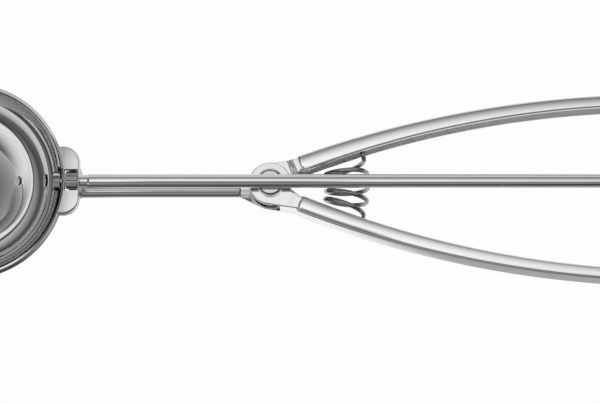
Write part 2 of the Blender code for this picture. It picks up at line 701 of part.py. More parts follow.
def make_pivot(parent, material):
    """The rivet's head carries the frame rod in a saddle; its shank holds all four ears."""
    head_low = HANDLE_MIDDLE + LOWER_EAR_FACE + CLEARANCE
    head_top = head_low + RIVET_HEAD_RISE
    washer_top = HANDLE_MIDDLE - LOWER_EAR_FACE - CLEARANCE
    washer_low = washer_top - WASHER_THICKNESS
    tail_top = washer_low - CLEARANCE
    tail_low = tail_top - RIVET_TAIL_HEIGHT
    profile = [(head_top, 0.0), (head_top, RIVET_HEAD_RADIUS - RIVET_CHAMFER),
               (head_top - RIVET_CHAMFER, RIVET_HEAD_RADIUS), (head_low, RIVET_HEAD_RADIUS),
               (head_low, RIVET_SHANK_RADIUS), (tail_top, RIVET_SHANK_RADIUS),
               (tail_top, RIVET_TAIL_RADIUS), (tail_low + RIVET_CHAMFER, RIVET_TAIL_RADIUS),
               (tail_low, RIVET_TAIL_RADIUS - RIVET_CHAMFER), (tail_low, 0.0)]
    rivet = turned("pivot_rivet", profile, "Z", RIVET_SEGMENTS)
    saddle = drill(-EAR_RADIUS, EAR_RADIUS, ROD_RADIUS + CLEARANCE, "X", ROD_SEGMENTS)
    cut(rivet, saddle)
    finish(rivet, parent, material)
    spacer_reach = UPPER_EAR_FACE - SHEET - CLEARANCE
    spacer = tube("pivot_spacer", HANDLE_MIDDLE - spacer_reach, HANDLE_MIDDLE + spacer_reach,
                  SPACER_RADIUS, PIVOT_BORE, "Z", ROD_SEGMENTS)
    finish(spacer, parent, material)
    washer = tube("pivot_washer", washer_low, washer_top, WASHER_RADIUS, PIVOT_BORE,
                  "Z", ROD_SEGMENTS)
    finish(washer, parent, material)


def mouth_at(reach):
    """Distance along the handle at which its open edges are reach away from the pivot, and the spot."""
    step = 0.05 * MM
    distance = 0.0
    while True:
        centre, outward = handle_frame(distance)
        mouth = centre - outward * handle_section(distance)[1]
        if mouth.length >= reach:
            return distance, mouth
        distance += step


def spring_path():
    """Wire's middle line: a tail into the upper channel, the turns, a tail into the lower one."""
    outer = SPRING_ARC_RADIUS + SPRING_COIL_RADIUS
    distance, mouth = mouth_at(outer)
    half_turn = math.atan2(mouth.y, mouth.x) - (SPRING_WIRE_RADIUS + SPRING_HANDLE_GAP) / outer

    def on_arc(turn, reach, z=0.0):
        return Vector((reach * math.cos(turn), reach * math.sin(turn), z))

    centre, outward = handle_frame(distance)
    web_face = centre + outward * (handle_section(distance)[1] - SHEET)
    to_web = (web_face - on_arc(half_turn, outer)).dot(outward)
    straight = to_web - SPRING_TAIL_BEND - CLEARANCE
    points = []
    for side in (1, -1):
        along = Vector((-math.sin(half_turn), side * math.cos(half_turn), 0.0))
        bend_centre = on_arc(side * half_turn, outer) + along * SPRING_TAIL_BEND
        bend = []
        for k in range(SPRING_BEND_STEPS + 1):
            angle = math.pi / 2 * k / SPRING_BEND_STEPS
            bend.append(bend_centre + Vector((0.0, 0.0, side * SPRING_TAIL_BEND * math.cos(angle)))
                        - along * SPRING_TAIL_BEND * math.sin(angle))
        tail = [bend[0] + along * straight] + bend[:-1]
        if side == 1:
            points += tail
            steps = SPRING_TURNS * SPRING_POINTS_PER_TURN
            for k in range(steps + 1):
                turn = half_turn * (1 - 2 * k / steps)
                curl = math.tau * k / SPRING_POINTS_PER_TURN
                reach = SPRING_ARC_RADIUS + SPRING_COIL_RADIUS * math.cos(curl)
                points.append(on_arc(turn, reach, -SPRING_COIL_RADIUS * math.sin(curl)))
        else:
            points += tail[::-1]
    return points


def least_spring_gap(points):
    """Least space between stretches of wire that are half a turn or more apart."""
    apart = SPRING_POINTS_PER_TURN // 2
    least = min((a - b).length for i, a in enumerate(points) for b in points[i + apart:])
    return least - 2 * SPRING_WIRE_RADIUS


def make_spring(parent, material):
    points = spring_path()
    print(f"return spring: least gap to itself {least_spring_gap(points) / MM:.2f} mm")
    curve = bpy.data.curves.new("return_spring", "CURVE")
    curve.dimensions = "3D"
    curve.bevel_depth = SPRING_WIRE_RADIUS
    curve.bevel_resolution = 1
    curve.use_fill_caps = True
    spline = curve.splines.new("POLY")
    spline.points.add(len(points) - 1)
    for spot, point in zip(spline.points, points):
        spot.co = (*point, 1.0)
    spring = bpy.data.objects.new("return_spring", curve)
    bpy.context.collection.objects.link(spring)
    finish(spring, parent, material, (0.0, 0.0, SPRING_Z))
    spring.rotation_euler.z = HANDLE_PAIR_TURN
    return spring


def build():
    clear_scene()
    height = BOWL_OUTER_RADIUS
    frame = empty("frame_axis", (0.0, 0.0, height))
    lower = empty("lower_handle_pivot", (0.0, 0.0, height))
    upper = empty("upper_handle_pivot", (0.0, 0.0, height))
    scraper = empty("scraper_axis", (BOWL_X, 0.0, height))

    make_bowl(frame, steel("polished_bowl_steel", 0.80, 0.10))
    make_rack_bracket(frame, steel("brushed_bracket_steel", 0.78, 0.28))
    make_frame_rod(frame, steel("drawn_rod_steel", 0.75, 0.18))
    make_pivot(frame, steel("rivet_steel", 0.70, 0.22))
    make_spring(frame, steel("spring_wire_steel", 0.66, 0.24))

    handle_steel = steel("pressed_handle_steel", 0.77, 0.20)
    make_handle("lower_handle", lower, handle_steel, LOWER_EAR_FACE, True, True)
    make_lever_rod(lower, steel("lever_steel", 0.72, 0.20))
    make_rack(lower, steel("rack_steel", 0.68, 0.30))
    make_handle("upper_handle", upper, handle_steel, UPPER_EAR_FACE, False, False)

    make_pinion(scraper, steel("pinion_steel", 0.68, 0.26))
    make_spindle(scraper, steel("spindle_steel", 0.70, 0.22))
    make_hubs(scraper, steel("hub_steel", 0.72, 0.20))
    make_far_pin(scraper, steel("pin_steel", 0.72, 0.20))
    make_blade(scraper, steel("blade_steel", 0.76, 0.24))


build()
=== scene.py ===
"""Squeeze-handled ice cream scoop in stainless steel.

The fine surfaces and finishes of its pieces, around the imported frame. Sizes are in millimetres."""
import math

import bmesh
import bpy
from mathutils import Matrix, Vector


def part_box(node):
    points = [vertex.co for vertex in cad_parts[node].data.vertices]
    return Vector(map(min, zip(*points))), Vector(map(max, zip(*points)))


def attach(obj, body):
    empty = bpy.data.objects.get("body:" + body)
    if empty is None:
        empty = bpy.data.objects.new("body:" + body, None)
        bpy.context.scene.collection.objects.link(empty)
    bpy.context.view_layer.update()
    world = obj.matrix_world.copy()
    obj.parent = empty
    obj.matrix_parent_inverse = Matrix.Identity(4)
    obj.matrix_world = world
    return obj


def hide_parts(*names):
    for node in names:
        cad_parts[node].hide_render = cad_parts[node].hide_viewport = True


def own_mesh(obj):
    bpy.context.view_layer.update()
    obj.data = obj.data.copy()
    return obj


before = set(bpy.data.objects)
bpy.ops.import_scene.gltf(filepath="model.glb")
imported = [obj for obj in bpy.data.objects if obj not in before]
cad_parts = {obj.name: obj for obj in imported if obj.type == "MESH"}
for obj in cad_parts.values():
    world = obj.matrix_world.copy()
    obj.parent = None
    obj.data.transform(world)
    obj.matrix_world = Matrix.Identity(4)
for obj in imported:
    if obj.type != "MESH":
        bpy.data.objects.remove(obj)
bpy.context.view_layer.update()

# Camera, a long lens that looks down on the scoop from just past the pivot.
# It leans a little towards the lower handle, so that the sides of the pieces show.
MM = 0.001
PIXELS_PER_MM = 3.45
PICTURE_WIDTH = 600
MIDDLE_X, MIDDLE_Y = 8.7, -6.05
LENS, FILM_WIDTH = 135.0, 36.0
NEAREST = 50.0
LEAN = math.radians(10.0)
rod_low, rod_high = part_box("frame_rod")
rod_height = (rod_low.z + rod_high.z) / 2
camera_data = bpy.data.cameras.new("camera")
camera_data.lens = LENS
camera_data.sensor_width = FILM_WIDTH
camera_data.clip_start = NEAREST * MM
camera = bpy.data.objects.new("camera", camera_data)
bpy.context.scene.collection.objects.link(camera)
aim = Vector((MIDDLE_X * MM, MIDDLE_Y * MM, rod_height))
lens_way = Vector((0.0, -math.sin(LEAN), math.cos(LEAN)))
camera.location = aim + lens_way * (PICTURE_WIDTH / PIXELS_PER_MM * LENS / FILM_WIDTH * MM)
camera.rotation_euler = (LEAN, 0.0, 0.0)
bpy.context.scene.camera = camera
bpy.context.scene.view_settings.view_transform = "Standard"


# Studio room, white at the horizon and dim overhead, with dark walls beyond the lower handle, the bowl
# and the ends of the handles. Polished steel gets its dark bands from it; the camera sees it white.
def linear(code):
    """Turns an sRGB hex colour into linear values with an alpha of 1."""
    values = [int(code[k:k + 2], 16) / 255 for k in (0, 2, 4)]
    return (*[v / 12.92 if v <= 0.04045 else ((v + 0.055) / 1.055) ** 2.4 for v in values], 1.0)


def add(tree, kind, settings=None, **inputs):
    """Adds a node; an input is a value or the output socket that feeds it."""
    node = tree.nodes.new(kind)
    for name, value in (settings or {}).items():
        setattr(node, name, value)
    for name, value in inputs.items():
        spot = int(name[1:]) if name[0] == "_" and name[1:].isdigit() else name.replace("_", " ")
        if isinstance(value, bpy.types.NodeSocket):
            tree.links.new(value, node.inputs[spot])
        else:
            node.inputs[spot].default_value = value
    return node.outputs[0] if node.outputs else None


WHITE = linear("FFFFFF")
# How bright the room is, by the angle in degrees from straight up.
ROOM_LEVELS = ((0, 0.13), (18, 0.14), (30, 0.2), (43, 0.3), (61, 0.56), (80, 0.9), (95, 0.95), (180, 1.0))
# The way to each dark wall, the cosines of the angles from it where it is darkest and where it ends,
# and the share of the room's light in its middle.
DARK_WALLS = (((0.0, -1.0, 0.0), 1.0, 0.72, 0.2), ((0.71, -0.71, 0.0), 0.8, 0.6, 0.15),
              ((-0.93, 0.33, 0.15), 0.93, 0.8, 0.15), ((1.0, 0.0, 0.0), 0.97, 0.6, 0.3))
world = bpy.data.worlds.new("studio")
bpy.context.scene.world = world
world.use_nodes = True
room = world.node_tree
room.nodes.clear()
ways = add(room, "ShaderNodeTexCoord")
up = add(room, "ShaderNodeSeparateXYZ", _0=ways).node.outputs["Z"]
slant = add(room, "ShaderNodeMath", {"operation": "ARCCOSINE"}, _0=up)
slant = add(room, "ShaderNodeMath", {"operation": "DIVIDE"}, _0=slant, _1=math.pi)
level = add(room, "ShaderNodeFloatCurve", Value=slant)
curve = level.node.mapping.curves[0]
while len(curve.points) < len(ROOM_LEVELS):
    curve.points.new(0.5, 0.5)
for point, (angle, brightness) in zip(curve.points, ROOM_LEVELS):
    point.location = (angle / 180, brightness)
level.node.mapping.update()
for way, darkest, end, share in DARK_WALLS:
    facing = add(room, "ShaderNodeVectorMath", {"operation": "DOT_PRODUCT"}, _0=ways, _1=way)
    dimmed = add(room, "ShaderNodeMapRange", {"interpolation_type": "SMOOTHSTEP"},
                 Value=facing.node.outputs["Value"], From_Min=darkest, From_Max=end, To_Min=share)
    level = add(room, "ShaderNodeMath", {"operation": "MULTIPLY"}, _0=level, _1=dimmed)
from_camera = add(room, "ShaderNodeLightPath")
level = add(room, "ShaderNodeMath", {"operation": "MAXIMUM"}, _0=level, _1=from_camera)
background = add(room, "ShaderNodeBackground", Strength=level, Color=WHITE)
add(room, "ShaderNodeOutputWorld", Surface=background)


# Soft box, a wide cloth lamp just above the scoop, brightest over the bowl, with a small round glow
# past a dark gap in it. The cloth fades out at its edges and has a dim stretch over the rods.
# The camera doesn't see it.
def flat_sheet(name, reach, height):
    """A flat square that lies in the studio at a height in metres."""
    mesh = bpy.data.meshes.new(name)
    shape = bmesh.new()
    bmesh.ops.create_grid(shape, x_segments=1, y_segments=1, size=reach * MM)
    shape.to_mesh(mesh)
    shape.free()
    made = bpy.data.objects.new(name, mesh)
    made.location.z = height
    bpy.context.scene.collection.objects.link(made)
    return made


BOX_HEIGHT, BOX_REACH = 150.0, 320.0
BRIGHT_X, BRIGHT_LEVEL, FAINT_X, FAINT_LEVEL = -34.0, 1.3, 150.0, 0.9
GLOW_X, GLOW_Y = -75.0, 15.0
GLOW_CORE, CORE_LEVEL, GLOW_REACH, REACH_LEVEL = 8.0, 0.8, 80.0, 0.12
GLOW_START, GLOW_FULL = -81.0, -87.0
THIN_SHARE = 0.12
soft_box = flat_sheet("soft_box", BOX_REACH, rod_height + BOX_HEIGHT * MM)
cloth = bpy.data.materials.new("lit_white_cloth")
cloth.use_nodes = True
tree = cloth.node_tree
tree.nodes.clear()
spots = tree.nodes.new("ShaderNodeTexCoord").outputs["Object"]
across, along, _ = add(tree, "ShaderNodeSeparateXYZ", _0=spots).node.outputs
# The wide light ends at the gap over the bowl's middle and falls off past the upper handle.
light = add(tree, "ShaderNodeMapRange", Value=across, From_Min=BRIGHT_X * MM, From_Max=FAINT_X * MM,
            To_Min=BRIGHT_LEVEL, To_Max=FAINT_LEVEL)
for place, dark, full, share in ((across, -80.0, -68.0, 0.0), (along, 150.0, -30.0, 0.2)):
    edge = add(tree, "ShaderNodeMapRange", {"interpolation_type": "SMOOTHSTEP"}, Value=place,
               From_Min=dark * MM, From_Max=full * MM, To_Min=share)
    light = add(tree, "ShaderNodeMath", {"operation": "MULTIPLY"}, _0=light, _1=edge)
# The small glow starts on the other side of the gap.
away = add(tree, "ShaderNodeVectorMath", {"operation": "DISTANCE"}, _0=spots,
           _1=(GLOW_X * MM, GLOW_Y * MM, 0.0))
glow = add(tree, "ShaderNodeMapRange", Value=away.node.outputs["Value"], From_Min=GLOW_CORE * MM,
           From_Max=GLOW_REACH * MM, To_Min=CORE_LEVEL, To_Max=REACH_LEVEL)
edge = add(tree, "ShaderNodeMapRange", {"interpolation_type": "SMOOTHSTEP"}, Value=across,
           From_Min=GLOW_START * MM, From_Max=GLOW_FULL * MM)
glow = add(tree, "ShaderNodeMath", {"operation": "MULTIPLY"}, _0=glow, _1=edge)
light = add(tree, "ShaderNodeMath", {"operation": "ADD"}, _0=light, _1=glow)
# The cloth hides what is above it inside its four soft edges.
from_camera = add(tree, "ShaderNodeLightPath")
cover = add(tree, "ShaderNodeMath", {"operation": "SUBTRACT"}, _0=1.0, _1=from_camera)
for place, gone, full in ((across, -180.0, -150.0), (along, -82.0, -44.0), (along, 190.0, 150.0),
                          (across, 260.0, 200.0)):
    edge = add(tree, "ShaderNodeMapRange", {"interpolation_type": "SMOOTHSTEP"}, Value=place,
               From_Min=gone * MM, From_Max=full * MM)
    cover = add(tree, "ShaderNodeMath", {"operation": "MULTIPLY"}, _0=cover, _1=edge)
# It is thin where the rods reflect it, between these three edges.
thick = THIN_SHARE
for place, thin, full in ((across, -40.0, -60.0), (across, 5.0, 35.0), (along, -60.0, -14.0)):
    edge = add(tree, "ShaderNodeMapRange", {"interpolation_type": "SMOOTHSTEP"}, Value=place,
               From_Min=thin * MM, From_Max=full * MM)
    thick = add(tree, "ShaderNodeMath", {"operation": "MAXIMUM"}, _0=thick, _1=edge)
cover = add(tree, "ShaderNodeMath", {"operation": "MULTIPLY"}, _0=cover, _1=thick)
lit = add(tree, "ShaderNodeEmission", Color=WHITE, Strength=light)
clear = add(tree, "ShaderNodeBsdfTransparent")
blend = add(tree, "ShaderNodeMixShader", _0=cover, _1=clear, _2=lit)
add(tree, "ShaderNodeOutputMaterial", Surface=blend)
soft_box.data.materials.append(cloth)

# Table, a matt white board under the bowl. It shows white, with a faint soft shadow.
# For glossy rays it glows, with painted shade past the lower handle, far off and under the bowl.
TABLE_REACH = 1500.0
PLAIN_WHITE = 0.97
table = flat_sheet("table", TABLE_REACH, 0.0)
board = bpy.data.materials.new("white_board_painted_shade")
board.use_nodes = True
tree = board.node_tree
tree.nodes.clear()
spots = tree.nodes.new("ShaderNodeTexCoord").outputs["Object"]
across, along, _ = add(tree, "ShaderNodeSeparateXYZ", _0=spots).node.outputs
# Its glow in reflections is full on the upper handle's side; painted shade dims it past the lower handle,
# most of all near the bowl.
light = 0.0
for place, dark, full, low, high in ((across, 0.0, 45.0, 0.15, 0.42), (along, -34.0, -14.0, 0.0, 1.0)):
    edge = add(tree, "ShaderNodeMapRange", {"interpolation_type": "SMOOTHSTEP"}, Value=place,
               From_Min=dark * MM, From_Max=full * MM, To_Min=low, To_Max=high)
    light = add(tree, "ShaderNodeMath", {"operation": "MAXIMUM"}, _0=light, _1=edge)
# Painted shade also dims it far from the handles, and towards the bowl's middle.
for x, dark, full, share in ((40.0, 240.0, 110.0, 0.4), (-88.0, 25.0, 50.0, 0.15)):
    away = add(tree, "ShaderNodeVectorMath", {"operation": "DISTANCE"}, _0=spots, _1=(x * MM, 0.0, 0.0))
    painted_fade = add(tree, "ShaderNodeMapRange", {"interpolation_type": "SMOOTHSTEP"},
               Value=away.node.outputs["Value"], From_Min=dark * MM, From_Max=full * MM, To_Min=share)
    light = add(tree, "ShaderNodeMath", {"operation": "MULTIPLY"}, _0=light, _1=painted_fade)
rays = add(tree, "ShaderNodeLightPath").node.outputs
from_camera, from_gloss = rays["Is Camera Ray"], rays["Is Glossy Ray"]
light = add(tree, "ShaderNodeMath", {"operation": "MAXIMUM"}, _0=light, _1=from_camera)
plain = add(tree, "ShaderNodeMath", {"operation": "MAXIMUM"}, _0=from_camera, _1=from_gloss)
plain = add(tree, "ShaderNodeMath", {"operation": "MULTIPLY"}, _0=plain, _1=PLAIN_WHITE)
matt = add(tree, "ShaderNodeBsdfDiffuse", Color=linear("F6F6F6"))
# This glow carries the painted shade where polished steel sees it; the camera sees it plain white.
white = add(tree, "ShaderNodeEmission", Color=WHITE, Strength=light)
blend = add(tree, "ShaderNodeMixShader", _0=plain, _1=matt, _2=white)
add(tree, "ShaderNodeOutputMaterial", Surface=blend)
table.data.materials.append(board)


# Bowl, half a ball drawn and spun from stainless sheet, with a short straight rise to its lip.
# The lip slopes inwards, and all of it is buffed like a mirror.
def steel(name, shades, gloss, ridge, marks, texture, settings=None, **inputs):
    """Bare steel; marks of a size along X, Y and Z vary its grey and its gloss, and rise by ridge."""
    made = bpy.data.materials.new(name)
    made.use_nodes = True
    tree = made.node_tree
    shader = tree.nodes["Principled BSDF"]
    shader.inputs["Metallic"].default_value = 1.0
    spots = tree.nodes.new("ShaderNodeTexCoord").outputs["Object"]
    spots = add(tree, "ShaderNodeMapping", Vector=spots, Scale=[1 / (size * MM) for size in marks])
    marked = add(tree, texture, settings, Vector=spots, **inputs)
    greys = [linear(shade)[0] for shade in shades]
    grey = add(tree, "ShaderNodeMapRange", Value=marked, To_Min=greys[0], To_Max=greys[1])
    rough = add(tree, "ShaderNodeMapRange", Value=marked, To_Min=gloss[0], To_Max=gloss[1])
    relief = add(tree, "ShaderNodeBump", Height=marked, Strength=1.0, Distance=ridge * MM)
    for given, wanted in ((grey, "Base Color"), (rough, "Roughness"), (relief, "Normal")):
        tree.links.new(given, shader.inputs[wanted])
    return made


def arc(centre, radius, start, end, steps):
    """Points on an arc about the centre; its angles are in degrees."""
    turns = [math.radians(start + (end - start) * k / steps) for k in range(steps + 1)]
    return [(centre[0] + radius * math.cos(turn), centre[1] + radius * math.sin(turn)) for turn in turns]


SHARP_ANGLE = 35.0


def piece_from(name, shape, material, place=(0.0, 0.0, 0.0), sharp=SHARP_ANGLE):
    """Turns a bmesh, measured from the rod's axis, into a softly shaded object."""
    bmesh.ops.scale(shape, vec=(MM, MM, MM), verts=shape.verts)
    bmesh.ops.recalc_face_normals(shape, faces=shape.faces)
    for face in shape.faces:
        face.smooth = True
    mesh = bpy.data.meshes.new(name)
    shape.to_mesh(mesh)
    shape.free()
    mesh.set_sharp_from_angle(angle=math.radians(sharp))
    mesh.materials.append(material)
    made = bpy.data.objects.new(name, mesh)
    made.location = Vector(place) * MM + Vector((0.0, 0.0, rod_height))
    bpy.context.scene.collection.objects.link(made)
    return made


# A stretch longer than the first gets an extra point this far from each of its ends.
LONG_RUN, END_RUN = 0.7, 0.04


def turned(name, profile, axis, material, place=(0.0, 0.0, 0.0), steps=96, ring=False):
    """Turns (along, radius) points about the X or Z axis; ring closes a profile with a bore.

    The extra points keep the shading of the long stretches straight."""
    shape = bmesh.new()
    rows = []
    points = [profile[0]]
    for start, end in zip(profile, profile[1:]):
        run = math.dist(start, end)
        shares = (END_RUN / run, 1 - END_RUN / run, 1) if run > LONG_RUN else (1,)
        points += [tuple(one + (other - one) * share for one, other in zip(start, end)) for share in shares]
    for along, radius in points:
        row = []
        for k in range(steps):
            turn = math.tau * k / steps
            one, other = radius * math.cos(turn), radius * math.sin(turn)
            row.append(shape.verts.new((along, one, other) if axis == "X" else (one, other, along)))
        rows.append(row)
    pairs = list(zip(rows, rows[1:])) + ([(rows[-1], rows[0])] if ring else [])
    for row, following in pairs:
        for k in range(steps):
            after = (k + 1) % steps
            shape.faces.new((row[k], row[after], following[after], following[k]))
    if not ring:
        bmesh.ops.remove_doubles(shape, verts=shape.verts, dist=0.0001)
    return piece_from(name, shape, material, place)


def settle(piece, body, finish, *nodes):
    """Fixes a piece to its body, where it stands for the CAD nodes."""
    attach(piece, body)
    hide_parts(*nodes)
    return piece


bowl_low, bowl_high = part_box("bowl")
BOWL_X = (bowl_low.x + bowl_high.x) / 2 / MM
BOWL_OUTER = (bowl_high.x - bowl_low.x) / 2 / MM
BOWL_SHEET = 0.8
BOWL_INNER = BOWL_OUTER - BOWL_SHEET
LIP = (bowl_high.z - rod_height) / MM
LIP_SLOPE, LIP_ROUND = 35.0, 0.1
# The scale at which a wave texture repeats once for each size of mark.
ONE_WAVE = 0.314
# Spinning leaves faint rings, 1.2 mm apart, that only show where they bend a reflection.
mirror = steel("mirror_buffed_stainless", ("DEDEDE", "E3E3E3"), (0.02, 0.04), 0.0004, (1.2, 1.2, 1.2),
               "ShaderNodeTexWave", {"wave_type": "RINGS", "rings_direction": "Z"}, Scale=ONE_WAVE,
               Distortion=1.5)
lip_fall = (BOWL_SHEET - 2 * LIP_ROUND) * math.tan(math.radians(LIP_SLOPE))
lip = arc((LIP - LIP_ROUND, BOWL_OUTER - LIP_ROUND), LIP_ROUND, 90, -LIP_SLOPE, 6)
lip += arc((LIP - LIP_ROUND - lip_fall, BOWL_INNER + LIP_ROUND), LIP_ROUND, -LIP_SLOPE, -90, 4)
profile = arc((0, 0), BOWL_OUTER, 180, 90, 64) + lip + arc((0, 0), BOWL_INNER, 90, 180, 64)
settle(turned("bowl_fine", profile, "Z", mirror, (BOWL_X, 0, 0), 160), "frame", "bowl_steel", "bowl")


# Bracket between bowl and rod, pressed from sheet with a folded skirt, a slot with folded edges over
# the pinion and a long tongue that goes down beside the gearing. It is welded to the bowl and the rod,
# and its top is brushed.
def loft(rings):
    """Skins rings of equal length and caps both ends."""
    shape = bmesh.new()
    rows = [[shape.verts.new(spot) for spot in ring] for ring in rings]
    for row, following in zip(rows, rows[1:]):
        for k in range(len(row)):
            after = (k + 1) % len(row)
            shape.faces.new((row[k], row[after], following[after], following[k]))
    shape.faces.new(rows[0])
    shape.faces.new(rows[-1])
    return shape


def carve(target, tool, way="DIFFERENCE"):
    """Cuts the tool away from the target for good, or joins it on."""
    modifier = target.modifiers.new("cut", "BOOLEAN")
    modifier.operation = way
    modifier.solver = "EXACT"
    modifier.object = tool
    result = bpy.data.meshes.new_from_object(target.evaluated_get(bpy.context.evaluated_depsgraph_get()))
    target.modifiers.clear()
    target.data = result
    bpy.data.objects.remove(tool, do_unlink=True)


def soften(piece, width, least_turn=50.0):
    """Rounds the edges where the surface turns by at least so many degrees."""
    bevel = piece.modifiers.new("edges", "BEVEL")
    bevel.width = width * MM
    bevel.segments = 3
    bevel.limit_method = "ANGLE"
    bevel.angle_limit = math.radians(least_turn)
    return piece


# The brush lines lie across the rod, and are drawn 0.25 mm wide so that they show.
brushed = steel("brushed_stainless", ("D6D6D6", "E8E8E8"), (0.16, 0.3), 0.0008, (0.25, 8.333, 8.333),
                "ShaderNodeTexNoise", Scale=1.0, Detail=3.0)
bracket_low, bracket_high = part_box("rack_bracket")
HALF_WIDTH = (bracket_high.y - bracket_low.y) / 2 / MM
WEB_OUT = 4.3
WEB_X = BOWL_X + BOWL_OUTER + WEB_OUT
BRACKET_WALL, SKIRT, TONGUE, TONGUE_HALF = 0.8, 3.7, 8.7, 4.0
CORNER, BULGE, FOLD = 4.4, 0.3, 0.6
SLOT_HALF, SLOT_WEB, SLOT_FOLD, SLOT_FOOT = 3.12, 0.4, 0.4, -0.8
SLOT_TOP = LIP - 0.2
# The cover starts well inside the ball that is cut from it. The blocks that cut it reach past it.
LEFT = BOWL_X + BOWL_OUTER / 2
CUTTER_LEFT, CUTTER_RIGHT, PAST = LEFT - 9.0, 0.0, 1.0


def bracket_ring(left, inset, z):
    """Cover seen from the front: straight sides, rounded outer corners, bulging outer edge."""
    half, corner, right = HALF_WIDTH - inset, CORNER - inset, WEB_X - inset
    low = arc((right - corner, corner - half), corner, -90, 0, 16)
    high = arc((right - corner, half - corner), corner, 0, 90, 16)
    span = half - corner
    middle = [(right, -span + 2 * span * k / 8) for k in range(1, 8)]
    bulged = [(x - BULGE * (y / HALF_WIDTH) ** 2, y, z) for x, y in low + middle + high]
    return [(left, -half, z)] + bulged + [(left, half, z)]


def block(x_low, x_high, y_low, y_high, z_low, z_high):
    """A square block to cut with or to join on."""
    corners = [(x_low, y_low), (x_high, y_low), (x_high, y_high), (x_low, y_high)]
    return piece_from("block", loft([[(x, y, z) for x, y in corners] for z in (z_low, z_high)]), brushed)


turns = [math.radians(15 * k) for k in range(7)]
folds = [(FOLD * (1 - math.cos(turn)), LIP - FOLD * (1 - math.sin(turn))) for turn in turns]
rings = [bracket_ring(LEFT, 0.0, LIP - TONGUE)] + [bracket_ring(LEFT, inset, z) for inset, z in folds]
bracket = piece_from("bracket_fine", loft(rings), brushed)
hollow = [bracket_ring(LEFT - PAST, BRACKET_WALL, z) for z in (LIP - TONGUE - PAST, LIP - BRACKET_WALL)]
carve(bracket, piece_from("hollow", loft(hollow), brushed))
for y_low, y_high in ((-HALF_WIDTH - PAST, -TONGUE_HALF), (TONGUE_HALF, HALF_WIDTH + PAST)):
    carve(bracket, block(CUTTER_LEFT, CUTTER_RIGHT, y_low, y_high, LIP - TONGUE - PAST, LIP - SKIRT))
fold_half = SLOT_HALF + SLOT_FOLD
slot_end = WEB_X - SLOT_WEB
carve(bracket, block(LEFT, slot_end, -fold_half, fold_half, SLOT_FOOT, SLOT_TOP), "UNION")
carve(bracket, block(CUTTER_LEFT, slot_end, -SLOT_HALF, SLOT_HALF, -SLOT_HALF, LIP + PAST))
ball = arc((0, 0), BOWL_OUTER, 180, 90, 30) + [(LIP + PAST, BOWL_OUTER), (LIP + PAST, 0)]
carve(bracket, turned("ball", ball, "Z", brushed, (BOWL_X, 0, 0), 192))
for face in bracket.data.polygons:
    face.use_smooth = True
bracket.data.set_sharp_from_angle(angle=math.radians(SHARP_ANGLE))
settle(soften(bracket, width=0.12), "frame", "bracket_steel", "rack_bracket")

# Frame rod, stainless rod drawn bright through a die, with a domed end.
# It is necked where it is welded to the bracket.
ROD_RADIUS, NECK_RADIUS, NECK_LENGTH, NECK_TAPER = 2.0, 1.75, 2.3, 0.5
WELD_RISE, WELD_LENGTH = 0.12, 0.2
ROD_END = rod_high.x / MM
# The die leaves long streaks along the rod, drawn 0.3 mm wide so that they show.
drawn = steel("bright_drawn_stainless", ("D2D2D2", "DEDEDE"), (0.08, 0.13), 0.0003, (25.0, 0.303, 0.303),
              "ShaderNodeTexNoise", Scale=1.0, Detail=2.0)
neck_end = WEB_X + NECK_LENGTH
profile = [(WEB_X, 0), (WEB_X, NECK_RADIUS + WELD_RISE), (WEB_X + WELD_LENGTH, NECK_RADIUS),
           (neck_end, NECK_RADIUS), (neck_end + NECK_TAPER, ROD_RADIUS)]
profile += arc((ROD_END - ROD_RADIUS, 0), ROD_RADIUS, 90, 0, 12)
settle(turned("frame_rod_fine", profile, "X", drawn), "frame", "rod_steel", "frame_rod")


# Pivot rivet, turned from stainless bar; its head is a raised ring round a shallow recess.
# The rod is welded across the head, and the tail is pressed over a washer. A sleeve keeps the ears
# apart.
def collar(low, high, bore, radius, back, fall):
    """Profile of a collar whose outer edges are broken, back along its axis and by a fall inwards."""
    return [(low, bore), (low, radius - fall), (low + back, radius), (high - back, radius),
            (high, radius - fall), (high, bore)]


HANDLE_Z = (sum(corner.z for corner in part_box("upper_handle")) / 2 - rod_height) / MM
HEAD_FOOT, HEAD_TOP, HEAD_RADIUS, RIM_RADIUS = HANDLE_Z + 5.35, HANDLE_Z + 7.35, 4.0, 3.75
RECESS_RADIUS, RECESS_DEPTH, RIM_FALL, CORNER_BREAK = 3.25, 0.5, 0.03, 0.35
SHANK_RADIUS, TAIL_RADIUS, TAIL_TOP, TAIL_FOOT = 2.2, 3.3, HANDLE_Z - 6.25, HANDLE_Z - 7.25
PIVOT_BORE, WASHER_LOW, WASHER_HIGH, WASHER_RADIUS = 2.5, -5.95, -5.35, 4.4
SLEEVE_HALF, SLEEVE_RADIUS = 2.65, 3.6
# The lathe leaves fine rings, drawn 0.2 mm apart.
lathe_turned = steel("lathe_turned_stainless", ("CBCBCB", "D8D8D8"), (0.1, 0.16), 0.0001, (0.2, 0.2, 0.2),
                     "ShaderNodeTexWave", {"wave_type": "RINGS", "rings_direction": "Z"},
                     Scale=ONE_WAVE, Distortion=0.5)
profile = [(HEAD_TOP - RECESS_DEPTH, 0), (HEAD_TOP - RECESS_DEPTH, RECESS_RADIUS),
           (HEAD_TOP - RIM_FALL, RIM_RADIUS - 0.06), (HEAD_TOP, RIM_RADIUS),
           (HEAD_TOP - RIM_FALL, RIM_RADIUS + 0.05), (HEAD_TOP - 0.25, HEAD_RADIUS - 0.04),
           (HEAD_TOP - CORNER_BREAK, HEAD_RADIUS), (HEAD_FOOT, HEAD_RADIUS), (HEAD_FOOT, SHANK_RADIUS),
           (TAIL_TOP, SHANK_RADIUS), (TAIL_TOP, TAIL_RADIUS), (TAIL_FOOT + CORNER_BREAK, TAIL_RADIUS),
           (TAIL_FOOT, TAIL_RADIUS - CORNER_BREAK), (TAIL_FOOT, 0)]
